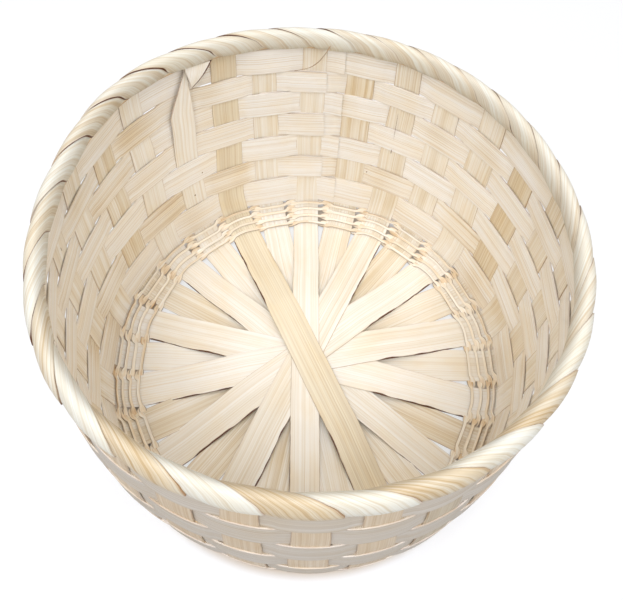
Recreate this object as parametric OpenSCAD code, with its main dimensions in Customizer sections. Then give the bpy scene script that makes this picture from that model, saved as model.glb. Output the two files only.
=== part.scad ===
// Round open basket plaited from flat bamboo splints.
// Fourteen strips cross under the floor and turn up as twenty-eight stakes.
// Pairs of thin strands are twined round the turn, seven flat weavers make the
// wall, and two hoops hold the stake tips under a wrapped splint.
// Sizes are in millimetres. The basket stands on z = 0.

/* [Splints] */
// Width of a base strip and of the stakes at its ends
strip_width = 13.6; // [11:0.1:14]
// Thickness of a base strip
strip_thickness = 0.45; // [0.3:0.05:0.6]
// Width of a stake at its tip in the rim
tip_width = 9.4; // [6:0.1:11]
// Height above the table at which the stakes start to narrow
taper_height = 34; // [25:1:80]
// Thickness of the flat weavers
weaver_thickness = 0.45; // [0.3:0.05:0.6]
// Width of a twining strand
strand_width = 1.85; // [1.2:0.05:2.2]
// Thickness of a twining strand
strand_thickness = 0.9; // [0.5:0.05:1.2]

/* [Basket] */
// Radius of the floor inside the first twined row
floor_radius = 73.1; // [65:0.1:95]
// Radius in which the strips turn up, at mid thickness
turn_radius = 10; // [7:0.5:14]
// How far the belly stands out beyond a plain upright wall
belly_swell = 1.3; // [0.8:0.05:4]
// Height of the belly, where the wall is widest
belly_height = 43; // [30:1:60]
// Height of the middle of the rim
rim_height = 114.6; // [95:0.5:135]

/* [Rim] */
// Thickness of the finished rim, from inside to outside
rim_thickness = 5; // [4.6:0.1:8]
// Height of the finished rim
rim_depth = 8.6; // [7:0.1:11]
// Thickness of the splint wrapped round the rim
wrap_thickness = 0.4; // [0.3:0.05:0.6]
// Radius of the round filler cane under the wrap
filler_radius = 0.8; // [0.5:0.1:1.2]
// Length of the tapered tip of the stake that slipped out of the rim
loose_tip_length = 22; // [12:1:40]
// How much lower the tip's taper starts on one edge than on the other
loose_tip_slant = 4; // [1:0.5:8]

/* [Fit] */
// Play between a stake and whatever passes over it
weave_play = 0.08; // [0.05:0.01:0.15]
// Play between strips that lie on each other
stack_play = 0.02; // [0.01:0.01:0.05]
// Play between the two strands where they swap sides
twine_play = 0.1; // [0.05:0.01:0.2]
// Gap between neighbouring rows of the wall
row_gap = 0.4; // [0.2:0.05:1]
// Play beside a stake before a weaver or strand starts to swap sides
edge_play = 0.35; // [0.2:0.05:0.6]
// Play under the rim wrap
wrap_play = 0.15; // [0.1:0.01:0.3]
// Gap between neighbouring turns of the rim wrap
wrap_gap = 0.4; // [0.2:0.1:1]

/* [Hidden] */
$fn = 96;

strip_count = 14;
stake_count = 2 * strip_count;
step = 360 / stake_count;
twine_rows = 4;
weaver_rows = 7;
splint_colour = [0.95, 0.90, 0.80];
golden_colour = [0.93, 0.85, 0.68];
strand_colour = [0.88, 0.76, 0.57];
weaver_colour = [0.96, 0.92, 0.84];
rim_colour = [0.94, 0.88, 0.76];

// ---- Floor: the strips lie in two layers of seven ----
layer_rise = strip_thickness + stack_play;
// A flat strand's edge dips by this much where the strips start to turn up
strand_dip = pow(strand_width / 2, 2) / (2 * turn_radius);
// Height of the strips' middle where they lie side by side
floor_level = strand_dip + strand_thickness + weave_play + strip_thickness / 2;
// Strips of one layer overlap within the first radius, the layers within the second
stack_radius = strip_width / 2 / tan(step) + 1;
spread_radius = strip_width / 2 / tan(step / 2) + 1;
// The upper layer starts down only where the lower one has done so
upper_stack_radius = (stack_radius + strip_width / 2 * sin(step)) / cos(step);
lower_settle_radius = stack_radius + 0.72 * (spread_radius - stack_radius);
upper_settle_radius = spread_radius + 5;

// ---- Wall line: flat floor, turn, and a long upright curve ----
twine_pitch = 2 * (strand_width + twine_play);
// The strips turn up from under the middle of the first twined row
turn_start = floor_radius + twine_pitch / 2;
turn_centre_z = floor_level + turn_radius;
turn_drop = belly_height - turn_centre_z;
belly_radius = turn_start + turn_radius + belly_swell;
wall_curve = (pow(turn_radius + belly_swell, 2) + pow(turn_drop, 2) - pow(turn_radius, 2)) / (2 * belly_swell);
wall_centre = [belly_radius - wall_curve, belly_height];
wall_start_angle = -asin(turn_drop / (wall_curve - turn_radius));
turn_length = turn_radius * (90 + wall_start_angle) * PI / 180;
wall_start = turn_start + turn_length;
rim_angle = asin((rim_height - belly_height) / wall_curve);
rim_centre = wall_centre + wall_curve * [cos(rim_angle), sin(rim_angle)];
rim_place = wall_start + wall_curve * (rim_angle - wall_start_angle) * PI / 180;

// Turn and wall angles at a distance s along the line from the basket's axis
function turn_angle(s) = (s - turn_start) / turn_radius * 180 / PI;
function wall_angle(s) = wall_start_angle + (s - wall_start) / wall_curve * 180 / PI;
// Direction along the line, as [radial, up]
function along(s) =
  s <= turn_start ? [1, 0]
  : s <= wall_start ? [cos(turn_angle(s)), sin(turn_angle(s))]
  : [-sin(wall_angle(s)), cos(wall_angle(s))];
// Direction towards the inside of the basket
function inward(s) = [-along(s)[1], along(s)[0]];
// Point of the line, as [radius, height]
function line_point(s) =
  s <= turn_start ? [s, floor_level]
  : s <= wall_start ? [turn_start, turn_centre_z] - turn_radius * inward(s)
  : wall_centre - wall_curve * inward(s);
// Half width of a stake at a height
tip_height = rim_height + rim_depth / 2;
function half_width(z) =
  z <= taper_height ? strip_width / 2
  : (strip_width + (tip_width - strip_width) * (z - taper_height) / (tip_height - taper_height)) / 2;

// ---- Rows ----
strand_lift = (strip_thickness + strand_thickness) / 2 + weave_play;
strand_swing = (strand_width + twine_play) / 2;
weave_start = floor_radius + twine_rows * twine_pitch + row_gap / 2;
weave_end = rim_place - rim_depth / 2 - row_gap / 2;
weaver_pitch = (weave_end - weave_start) / weaver_rows;
weaver_lift = (strip_thickness + weaver_thickness) / 2 + weave_play;

// ---- Rim section ----
// The rim is an upright oval, whose half width and half height shrink inwards
function rim_half(inset) = [rim_thickness / 2 - inset, rim_depth / 2 - inset];
function rim_turned(p) =
  rim_centre + [p[0] * cos(rim_angle) - p[1] * sin(rim_angle), p[0] * sin(rim_angle) + p[1] * cos(rim_angle)];
hoop_half = rim_half(wrap_thickness + wrap_play);
tip_half_width = half_width(rim_height);
// A flat stake's edges stand this much further out than its middle
stake_bow = pow(tip_half_width, 2) / (2 * rim_centre[0]);
slot_half = strip_thickness / 2 + weave_play;
filler_offset = hoop_half[1] - filler_radius;
tip_place = rim_place + filler_offset - filler_radius - 2 * weave_play;

// ---- The stake whose tip slipped out of the rim and hangs inside the wall ----
loose_stake = 25;
loose_strip = loose_stake % strip_count;
loose_top = rim_height - rim_depth / 2 - row_gap;
loose_shoulder = loose_top - loose_tip_length;
loose_point = 1.5;

// ---- Helpers ----
// Clockwise from +Y, seen from above: x across from the axis, y along the ring
function ring_point(angle, x, y, z) =
  [x * sin(angle) + y * cos(angle), x * cos(angle) - y * sin(angle), z];

// Joins equal loops of points into one closed ring of faces
module closed_ring(loops) {
  n = len(loops);
  m = len(loops[0]);
  polyhedron(
    points = [for (loop = loops) each loop],
    faces = [for (i = [0:n - 1], j = [0:m - 1])
      let (a = i * m + j, b = i * m + (j + 1) % m,
           c = (i + 1) % n * m + (j + 1) % m, d = (i + 1) % n * m + j)
      each [[a, b, c], [a, c, d]]],
    convexity = 6);
}

// ---- Base strips ----
// Layer order from the table up: seven odd stakes' strips, then seven even ones
function strip_level(k) =
  (k % 2 == 0 ? strip_count / 2 : 0) + ((strip_count - 4 + k % 2 - k + strip_count) % strip_count) / 2;

// Middle of a strip from the axis to its tip, each point with its inward direction
function strip_line(level) =
  let (upper = level >= strip_count / 2,
       stack_z = level * layer_rise + strip_thickness / 2,
       turn_steps = 12,
       wall_steps = 10)
  concat(
    upper
      ? [[0, stack_z, 0, 1], [upper_stack_radius, stack_z, 0, 1],
         [spread_radius, floor_level + layer_rise, 0, 1], [upper_settle_radius, floor_level, 0, 1]]
      : [[0, stack_z, 0, 1], [stack_radius, stack_z, 0, 1],
         [lower_settle_radius, floor_level, 0, 1]],
    [for (i = [0:turn_steps])
      let (s = turn_start + i * turn_length / turn_steps) concat(line_point(s), inward(s))],
    [for (i = [1:wall_steps])
      let (s = wall_start + i * (tip_place - wall_start) / wall_steps)
      concat(line_point(s), inward(s))]);

function offset_line(line, distance) =
  [for (p = line) [p[0] + distance * p[2], p[1] + distance * p[3]]];
function mirrored(points) = [for (i = [len(points) - 1:-1:1]) [-points[i][0], points[i][1]]];

module strip_profile(level) {
  line = strip_line(level);
  under = offset_line(line, -strip_thickness / 2);
  top = offset_line(line, strip_thickness / 2);
  lower = concat(mirrored(under), under);
  upper = concat(mirrored(top), top);
  polygon(concat(lower, [for (i = [len(upper) - 1:-1:0]) upper[i]]));
}

// Front view of a stake: straight, then narrowing to the rim
module stake_outline() {
  polygon([[-strip_width / 2, -1], [strip_width / 2, -1], [strip_width / 2, taper_height],
           [tip_width / 2, tip_height], [-tip_width / 2, tip_height],
           [-strip_width / 2, taper_height]]);
}

// What is cut away round the loose stake's pointed tip
module loose_tip_cut() {
  difference() {
    translate([-strip_width, loose_shoulder]) square([2 * strip_width, tip_height]);
    polygon([[-strip_width / 2, loose_shoulder - 1],
             [strip_width / 2, loose_shoulder - 1],
             [strip_width / 2, loose_shoulder + loose_tip_slant],
             [loose_point, loose_top], [-loose_point / 2, loose_top],
             [-strip_width / 2, loose_shoulder]]);
  }
}

module base_strip(number) {
  k = number - 1;
  reach = belly_radius + strip_width;
  color(k == 12 ? golden_colour : splint_colour)
  rotate([0, 0, 90 - k * step])
  difference() {
    intersection() {
      rotate([90, 0, 0]) linear_extrude(height = 2 * strip_width, center = true)
        strip_profile(strip_level(k));
      rotate([90, 0, 90]) linear_extrude(height = 2 * reach, center = true) stake_outline();
    }
    if (k == loose_strip)
      translate([-reach, 0, 0]) rotate([90, 0, 90]) linear_extrude(height = reach) loose_tip_cut();
  }
}

// ---- Twined rows: two strands wind round each other between the stakes ----
// bow is how much further out a strand lies between stakes than on a flat stake
function strand_section(angle, y, s, bow, lift) =
  [for (corner = [[-1, -1], [1, -1], [1, 1], [-1, 1]])
    let (p = line_point(s) + inward(s) * (lift + corner[0] * strand_thickness / 2)
           + along(s) * corner[1] * strand_width / 2)
    ring_point(angle, p[0] + bow, y, p[1])];

function strand_loops(s, phase) =
  let (r = line_point(s)[0],
       edge = half_width(line_point(s)[1]) + edge_play,
       edge_angle = atan(edge / r),
       bow = sqrt(r * r + edge * edge) - r)
  [for (i = [0:stake_count - 1])
    let (before = cos(180 * i + phase))
    each [
      strand_section(i * step, -edge, s, 0, strand_lift * before),
      strand_section(i * step, edge, s, 0, strand_lift * before),
      for (u = [1, 2])
        strand_section(i * step + edge_angle + u / 3 * (step - 2 * edge_angle), 0,
                       s + strand_swing * before, bow, strand_lift * before * (3 - 2 * u))]];

module twine_strand(row, phase) {
  s = floor_radius + (row - 0.5) * twine_pitch;
  color(strand_colour) closed_ring(strand_loops(s, phase));
}

// ---- Wall weavers: over one stake and under the next ----
// A weaver passes outside (1) or inside (-1) of a stake. The loose stake stays inside.
function weaver_side(row, stake) =
  stake == loose_stake && row < 4 ? 1 : (row + stake) % 2 == 1 ? 1 : -1;

function weaver_section(angle, y, bottom, top, edge, lift) =
  let (places = [bottom, (bottom + top) / 2, top])
  [for (face = [1, -1], i = [0:2])
    let (s = places[face > 0 ? i : 2 - i],
         p = line_point(s) - inward(s) * (lift - face * weaver_thickness / 2),
         x = y == 0 ? p[0] + edge * edge / (2 * p[0]) : p[0])
    ring_point(angle, x, y, p[1])];

module weaver_row(row) {
  bottom = weave_start + (weaver_rows - row) * weaver_pitch + row_gap / 2;
  top = bottom + weaver_pitch - row_gap;
  edge = half_width(line_point(bottom)[1]) + edge_play;
  color(weaver_colour) closed_ring([for (i = [0:stake_count - 1])
    let (lift = weaver_lift * weaver_side(row, i))
    each [weaver_section(i * step, -edge, bottom, top, edge, lift),
          weaver_section(i * step, edge, bottom, top, edge, lift),
          weaver_section((i + 0.5) * step, 0, bottom, top, edge, 0)]]);
}

// ---- Rim ----
module hoop_section(side) {
  near = side > 0 ? slot_half + stake_bow : slot_half;
  translate(rim_centre) rotate(rim_angle) difference() {
    scale([hoop_half[0] / hoop_half[1], 1]) circle(hoop_half[1]);
    translate([side > 0 ? near - rim_depth : -near, -rim_depth / 2])
      square(rim_depth);
    translate([0, filler_offset]) circle(filler_radius + wrap_play);
  }
}

module rim_inner_hoop() {
  color(rim_colour) rotate_extrude() hoop_section(-1);
}

module rim_outer_hoop() {
  color(rim_colour) rotate_extrude() hoop_section(1);
}

module rim_filler_cane() {
  color(rim_colour) rotate_extrude()
    translate(rim_centre) rotate(rim_angle) translate([0, filler_offset]) circle(filler_radius);
}

// The wrap takes one turn for each stake and is pinched where it passes between two stakes
wrap_stations = 12;
wrap_full = step - wrap_gap / rim_centre[0] * 180 / PI;
wrap_pinched =
  step - 2 * atan((half_width(rim_height - rim_depth / 2) + 2 * edge_play) / (rim_centre[0] - rim_thickness / 2));
function wrap_width(n) =
  let (away = min(n % wrap_stations, wrap_stations - n % wrap_stations) / wrap_stations,
       t = max(0, min(1, 1.5 - 9 * away)))
  wrap_full + (wrap_pinched - wrap_full) * t;

function wrap_section(n) =
  let (section_angle = 270 + n * 360 / wrap_stations,
       middle = (n / wrap_stations + 0.5) * step,
       width = wrap_width(n))
  [for (face = [0, 1], i = [0:3])
    let (u = (face == 0 ? i : 3 - i) / 3 - 0.5,
         half = rim_half(face * wrap_thickness),
         p = rim_turned([half[0] * cos(section_angle), half[1] * sin(section_angle)]))
    ring_point(middle + u * width, p[0], 0, p[1])];

module rim_wrap() {
  color(rim_colour) closed_ring([for (n = [0:stake_count * wrap_stations - 1]) wrap_section(n)]);
}

base_strip(1);  // base_strip_01
base_strip(2);  // base_strip_02
base_strip(3);  // base_strip_03
base_strip(4);  // base_strip_04
base_strip(5);  // base_strip_05
base_strip(6);  // base_strip_06
base_strip(7);  // base_strip_07
base_strip(8);  // base_strip_08
base_strip(9);  // base_strip_09
base_strip(10);  // base_strip_10
base_strip(11);  // base_strip_11
base_strip(12);  // base_strip_12
base_strip(13);  // base_strip_13
base_strip(14);  // base_strip_14
twine_strand(1, 0);  // twine_row_1_strand_a
twine_strand(1, 180);  // twine_row_1_strand_b
twine_strand(2, 0);  // twine_row_2_strand_a
twine_strand(2, 180);  // twine_row_2_strand_b
twine_strand(3, 0);  // twine_row_3_strand_a
twine_strand(3, 180);  // twine_row_3_strand_b
twine_strand(4, 0);  // twine_row_4_strand_a
twine_strand(4, 180);  // twine_row_4_strand_b
weaver_row(1);  // weaver_row_1
weaver_row(2);  // weaver_row_2
weaver_row(3);  // weaver_row_3
weaver_row(4);  // weaver_row_4
weaver_row(5);  // weaver_row_5
weaver_row(6);  // weaver_row_6
weaver_row(7);  // weaver_row_7
rim_inner_hoop();
rim_outer_hoop();
rim_filler_cane();
rim_wrap();
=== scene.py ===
"""Round open basket plaited from flat bamboo splint, dressed piece by piece.

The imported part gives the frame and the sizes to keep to. Each sub-assembly is a
class that builds its splints as thin solid ribbons, lays them along the wall line
of the basket and gives them their finish. Lengths are in metres.
"""

from __future__ import annotations

import logging
import math
from dataclasses import dataclass
from enum import Enum

import bpy
import numpy as np
from mathutils import Matrix, Vector

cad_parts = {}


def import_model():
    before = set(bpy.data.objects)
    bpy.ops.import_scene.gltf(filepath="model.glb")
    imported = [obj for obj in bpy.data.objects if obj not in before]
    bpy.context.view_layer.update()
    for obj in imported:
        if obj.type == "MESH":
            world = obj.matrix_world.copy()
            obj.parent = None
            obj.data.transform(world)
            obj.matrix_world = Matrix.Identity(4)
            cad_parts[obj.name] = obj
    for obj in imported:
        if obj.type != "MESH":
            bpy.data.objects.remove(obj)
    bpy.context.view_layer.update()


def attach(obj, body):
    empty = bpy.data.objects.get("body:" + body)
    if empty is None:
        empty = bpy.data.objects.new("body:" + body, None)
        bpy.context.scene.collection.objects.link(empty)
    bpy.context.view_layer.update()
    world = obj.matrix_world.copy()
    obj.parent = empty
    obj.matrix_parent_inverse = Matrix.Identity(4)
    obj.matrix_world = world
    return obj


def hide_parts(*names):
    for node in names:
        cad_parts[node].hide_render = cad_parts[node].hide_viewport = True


LOG = logging.getLogger("basket")
MM = 0.001
STAKES = 28
STRIPS = STAKES // 2
STEP = 2 * math.pi / STAKES
LOOSE_STAKE = 25
SHIFT_HEIGHTS = (20, 60, 105)
Array = np.ndarray


class Face(Enum):
    """Side of a stake on which a weaver or strand passes."""

    OUTSIDE = 1
    INSIDE = -1


class Wander:
    """A smooth value that wanders between about -1 and 1, the same on each run."""

    def __init__(self, seed: int, wavelength: float, octaves: int = 3) -> None:
        """Draws the waves.

        Args:
            seed: Picks the pattern.
            wavelength: Length of the longest wave.
            octaves: Number of waves, each about half as long as the one before.
        """
        rng = np.random.default_rng(seed)
        self.waves = [
            (2 * math.pi * 1.83**n / wavelength, rng.uniform(0, 2 * math.pi), 0.62**n)
            for n in range(octaves)
        ]
        self.size = sum(w[2] for w in self.waves)

    def __call__(self, x: Array | float) -> Array:
        """Value at a place.

        Args:
            x: Place or places along the length.

        Returns:
            The wandering value, about -1 to 1.
        """
        x = np.asarray(x, float)
        return sum(a * np.sin(k * x + p) for k, p, a in self.waves) / self.size


def smooth(t: Array | float) -> Array:
    """Eases from 0 to 1 as t goes from 0 to 1."""
    t = np.clip(t, 0, 1)
    return t * t * (3 - 2 * t)


def ring_values(angle: Array, knots: tuple[float, ...]) -> Array:
    """Smooth value round the basket from values at equal steps.

    Args:
        angle: Angles clockwise from +Y, in radians.
        knots: Values at equal steps round the ring, the first at +Y.

    Returns:
        The value at each angle.
    """
    count = len(knots)
    x = np.asarray(angle, float) / (2 * math.pi) * count
    i = np.floor(x).astype(int)
    t = x - i
    k = np.asarray(knots, float)
    a, b, c, d = (k[(i + j) % count] for j in (-1, 0, 1, 2))
    return b + 0.5 * t * (
        c - a + t * (2 * a - 5 * b + 4 * c - d + t * (3 * (b - c) + d - a))
    )


@dataclass(frozen=True)
class BasketForm:
    """Sizes of the woven body and the line that its wall follows.

    The handmade body leans, and it is pushed out by the millimetres that rim_out and
    belly_out hold, at equal steps clockwise from the back.
    """

    floor_radius: float = 73.1 * MM
    turn_radius: float = 10 * MM
    belly_swell: float = 1.3 * MM
    belly_height: float = 43 * MM
    rim_height: float = 114.6 * MM
    rim_half: tuple[float, float] = (2.4 * MM, 4.2 * MM)
    splint: float = 0.45 * MM
    strand_width: float = 1.85 * MM
    strand_thickness: float = 0.9 * MM
    twine_pitch: float = 3.9 * MM
    play: float = 0.08 * MM
    lean: tuple[float, float] = (-2.86 * MM, 0.59 * MM)
    rim_out: tuple[float, ...] = (
        0.0, 0.1, 0.0, -0.4, 0.1, 0.2, -0.8, -1.6, -0.4, 0.9, -0.5, -0.9, 1.7, 0.9,
    )
    belly_out: tuple[float, ...] = (
        0.3, 0.3, 0.3, 0.3, 0.2, -0.2, 0.9, 1.3, 0.7, 1.9, 0.3, 0.3, 0.3, 0.3,
    )

    @property
    def floor_level(self) -> float:
        """Height of the middle of the strips where they lie side by side."""
        dip = (self.strand_width / 2) ** 2 / (2 * self.turn_radius)
        return dip + self.strand_thickness + self.play + self.splint / 2

    @property
    def turn_start(self) -> float:
        """Radius at which the strips start to turn up."""
        return self.floor_radius + self.twine_pitch / 2

    @property
    def turn_drop(self) -> float:
        """How far the middle of the turn lies under the belly."""
        return self.belly_height - self.floor_level - self.turn_radius

    @property
    def belly_radius(self) -> float:
        """Largest radius of the wall."""
        return self.turn_start + self.turn_radius + self.belly_swell

    @property
    def wall_curve(self) -> float:
        """Radius of the upright curve of the wall."""
        reach = self.turn_radius + self.belly_swell
        return (reach**2 + self.turn_drop**2 - self.turn_radius**2) / (2 * self.belly_swell)

    @property
    def wall_angle(self) -> float:
        """Angle on the upright curve at which the turn ends."""
        return -math.asin(self.turn_drop / (self.wall_curve - self.turn_radius))

    @property
    def wall_start(self) -> float:
        """Distance along the line at which the turn ends."""
        return self.turn_start + self.turn_radius * (math.pi / 2 + self.wall_angle)

    @property
    def rim_angle(self) -> float:
        """Angle on the upright curve at the middle of the rim."""
        return math.asin((self.rim_height - self.belly_height) / self.wall_curve)

    @property
    def rim_place(self) -> float:
        """Distance along the line at the middle of the rim."""
        return self.wall_start + self.wall_curve * (self.rim_angle - self.wall_angle)

    def inward(self, s: Array) -> Array:
        """Direction towards the inside of the basket, as (radial, up) rows."""
        s = np.asarray(s, float)
        turn = (s - self.turn_start) / self.turn_radius
        wall = self.wall_angle + (s - self.wall_start) / self.wall_curve
        angle = np.where(s <= self.turn_start, math.pi / 2, math.pi / 2 + turn)
        angle = np.where(s > self.wall_start, wall + math.pi, angle)
        return np.stack([np.cos(angle), np.sin(angle)], -1)

    def line(self, s: Array) -> Array:
        """Points of the wall line at distances s, as (radius, height) rows."""
        s = np.asarray(s, float)
        into = self.inward(s)
        flat = np.stack([s, np.full_like(s, self.floor_level)], -1)
        turn = np.array([self.turn_start, self.floor_level + self.turn_radius]) - self.turn_radius * into
        centre = np.array([self.belly_radius - self.wall_curve, self.belly_height])
        wall = centre - self.wall_curve * into
        low = np.where((s <= self.turn_start)[..., None], flat, turn)
        return np.where((s > self.wall_start)[..., None], wall, low)

    def place_at_height(self, z: Array | float) -> Array:
        """Distance along the line at a height on the wall."""
        z = np.asarray(z, float)
        angle = np.arcsin((z - self.belly_height) / self.wall_curve)
        return self.wall_start + self.wall_curve * (angle - self.wall_angle)

    def settle(self, points: Array) -> Array:
        """Moves points of the ideal round basket to where the handmade one has them.

        Args:
            points: Rows of x, y, z.

        Returns:
            The moved rows.
        """
        p = np.array(points, float)
        rise = p[:, 2] / self.rim_height
        angle = np.arctan2(p[:, 0], p[:, 1])
        reach = np.hypot(p[:, 0], p[:, 1])
        belly = np.clip(rise / 0.35, 0, 1)
        top = smooth((rise - 0.35) / 0.65)
        out = (1 - top) * smooth(belly) * ring_values(angle, self.belly_out)
        out += top * ring_values(angle, self.rim_out)
        out *= smooth(reach / self.floor_radius) * MM
        p[:, 0] += out * np.sin(angle) + self.lean[0] * rise
        p[:, 1] += out * np.cos(angle) + self.lean[1] * rise
        return p


def ring_point(angle: Array, across: Array, radius: Array, height: Array) -> Array:
    """Points placed by angle round the basket.

    Args:
        angle: Clockwise from +Y as seen from above, in radians.
        across: Distance along the ring from that angle, clockwise.
        radius: Distance from the axis.
        height: Height above the table.

    Returns:
        Rows of x, y, z.
    """
    angle, across, radius, height = np.broadcast_arrays(angle, across, radius, height)
    sin, cos = np.sin(angle), np.cos(angle)
    return np.stack([radius * sin + across * cos, radius * cos - across * sin, height], -1)


def unit(v: Array) -> Array:
    """Rows of v at length one."""
    return v / np.maximum(np.linalg.norm(v, axis=-1, keepdims=True), 1e-12)


def band_faces(count: int, ring: int, closed: bool) -> list[tuple[int, ...]]:
    """Faces of a band made of loops of points.

    Args:
        count: Number of loops.
        ring: Points in each loop.
        closed: Whether the last loop meets the first. The ends are capped if not.

    Returns:
        Corner numbers of each face.
    """
    i = np.arange(count - 1)[:, None] * ring
    j = np.arange(ring)[None, :]
    nxt = (j + 1) % ring
    quads = np.stack([i + j, i + nxt, i + ring + nxt, i + ring + j], -1).reshape(-1, 4)
    faces = [tuple(q) for q in quads.tolist()]
    last = (count - 1) * ring
    if closed:
        faces += [(last + a, last + (a + 1) % ring, (a + 1) % ring, a) for a in range(ring)]
    else:
        faces += [tuple(range(ring - 1, -1, -1)), tuple(range(last, count * ring))]
    return faces


def blurred(values: Array, reach: int) -> Array:
    """Values softened over a number of neighbours on each side."""
    weights = np.hanning(2 * reach + 3)[1:-1]
    weights /= weights.sum()
    padded = np.concatenate([np.repeat(values[:1], reach), values, np.repeat(values[-1:], reach)])
    return np.convolve(padded, weights, mode="valid")


@dataclass
class Ribbon:
    """A splint: a thin solid band along a path, with its grain laid along it.

    Each point of the middle has the directions of its side and face, a half width, a
    thickness, a tone and, in gap_shades, how much painted shade lies in the gaps beside its
    two edges. The crown is how far the middle of the face stands over its edges.
    """

    name: str
    middle: Array
    side: Array
    face: Array
    half_width: Array | float
    thickness: Array | float
    tone: Array | float
    seed: float
    crown: Array | float = 0.0
    across: int = 6
    closed: bool = False
    gap_shades: Array | None = None
    edge_bulge: float = 0.18

    def build(self, form: BasketForm) -> bpy.types.Object:
        """Makes the mesh object, settled into the handmade shape.

        Args:
            form: Basket whose shape the points settle into.

        Returns:
            The new object, linked into the scene.
        """
        count = len(self.middle)
        v = np.linspace(-1, 1, self.across + 1)
        ring_v = np.concatenate([v, [1.0], v[::-1], [-1.0]])
        top = np.concatenate([np.ones_like(v), [0.0], -np.ones_like(v), [0.0]])
        bulge = np.zeros_like(ring_v)
        bulge[[self.across + 1, -1]] = [1.0, -1.0]
        half = np.broadcast_to(self.half_width, count)[:, None]
        thick = np.broadcast_to(self.thickness, count)[:, None]
        crown = np.broadcast_to(self.crown, count)[:, None]
        reach = half * ring_v + self.edge_bulge * thick * bulge
        lift = thick / 2 * top + crown * (1 - ring_v**2)
        points = (
            self.middle[:, None, :]
            + reach[..., None] * self.side[:, None, :]
            + lift[..., None] * self.face[:, None, :]
        )
        steps = np.linalg.norm(np.diff(self.middle, axis=0), axis=1)
        along = np.concatenate([[0], np.cumsum(steps)])
        grain = np.stack(
            [
                np.repeat(along[:, None], len(ring_v), 1),
                half * ring_v,
                np.full((count, len(ring_v)), self.seed),
            ],
            -1,
        )
        edge = half * (1 - np.abs(ring_v))
        tone = np.repeat(np.broadcast_to(self.tone, count)[:, None], len(ring_v), 1)
        skin = np.repeat(((1 - top) / 2)[None, :], count, 0)
        gap_shades = np.zeros((count, 2)) if self.gap_shades is None else self.gap_shades
        gap_shade = np.where(ring_v < -0.01, gap_shades[:, :1], 0) + np.where(ring_v > 0.01, gap_shades[:, 1:], 0)
        faces = band_faces(count, len(ring_v), self.closed)
        return splint_object(
            self.name, form.settle(points.reshape(-1, 3)), faces, grain.reshape(-1, 3),
            edge.ravel(), tone.ravel(), skin.ravel(), gap_shade.ravel(),
        )


def splint_object(
    name: str,
    points: Array,
    faces: list[tuple[int, ...]],
    grain: Array,
    edge: Array,
    tone: Array,
    skin: Array,
    gap_shade: Array,
) -> bpy.types.Object:
    """Makes a mesh object whose points carry what the finishes read.

    Args:
        name: Name of the object.
        points: Rows of x, y, z.
        faces: Corner numbers of each face.
        grain: For each point its place along and across the fibres, and a seed.
        edge: For each point its distance from the splint's edge.
        tone: For each point how pale (1) or tanned (-1) it is.
        skin: For each point 1 on the side of the bamboo's skin and 0 on the pith side.
        gap_shade: For each point how much painted shade lies in the gap beside the splint's edge next to it,
            0 to 1.

    Returns:
        The new object, linked into the scene.
    """
    mesh = bpy.data.meshes.new(name)
    first = np.array([f[:3] for f in faces])
    a, b, c = (points[first[:, n]] for n in range(3))
    if np.einsum("ij,ij->i", a, np.cross(b, c)).sum() < 0:
        faces = [f[::-1] for f in faces]
    mesh.from_pydata(points.tolist(), [], faces)
    for key, kind, values in (
        ("grain", "FLOAT_VECTOR", grain),
        ("edge_distance", "FLOAT", edge),
        ("tone", "FLOAT", tone),
        ("skin", "FLOAT", skin),
        ("gap_shade", "FLOAT", gap_shade),
    ):
        made = mesh.attributes.new(key, kind, "POINT")
        member = "vector" if kind == "FLOAT_VECTOR" else "value"
        made.data.foreach_set(member, values.astype(np.float32).ravel())
    corners = np.empty(len(mesh.loops), np.int32)
    mesh.loops.foreach_get("vertex_index", corners)
    fibre_map = mesh.uv_layers.new(name="FibreMap")
    flat_grain = grain[corners][:, [1, 0]] * 20 + 0.5
    fibre_map.uv.foreach_set("vector", flat_grain.astype(np.float32).ravel())
    mesh.polygons.foreach_set("use_smooth", np.ones(len(mesh.polygons), bool))
    mesh.set_sharp_from_angle(angle=math.radians(38))
    mesh.validate()
    obj = bpy.data.objects.new(name, mesh)
    bpy.context.scene.collection.objects.link(obj)
    return obj


def srgb(red: int, green: int, blue: int) -> tuple[float, float, float, float]:
    """Colour as seen, in steps of 255, turned into the renderer's linear numbers."""
    seen = (c / 255 for c in (red, green, blue))
    return (*(c / 12.92 if c <= 0.04045 else ((c + 0.055) / 1.055) ** 2.4 for c in seen), 1.0)


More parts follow.
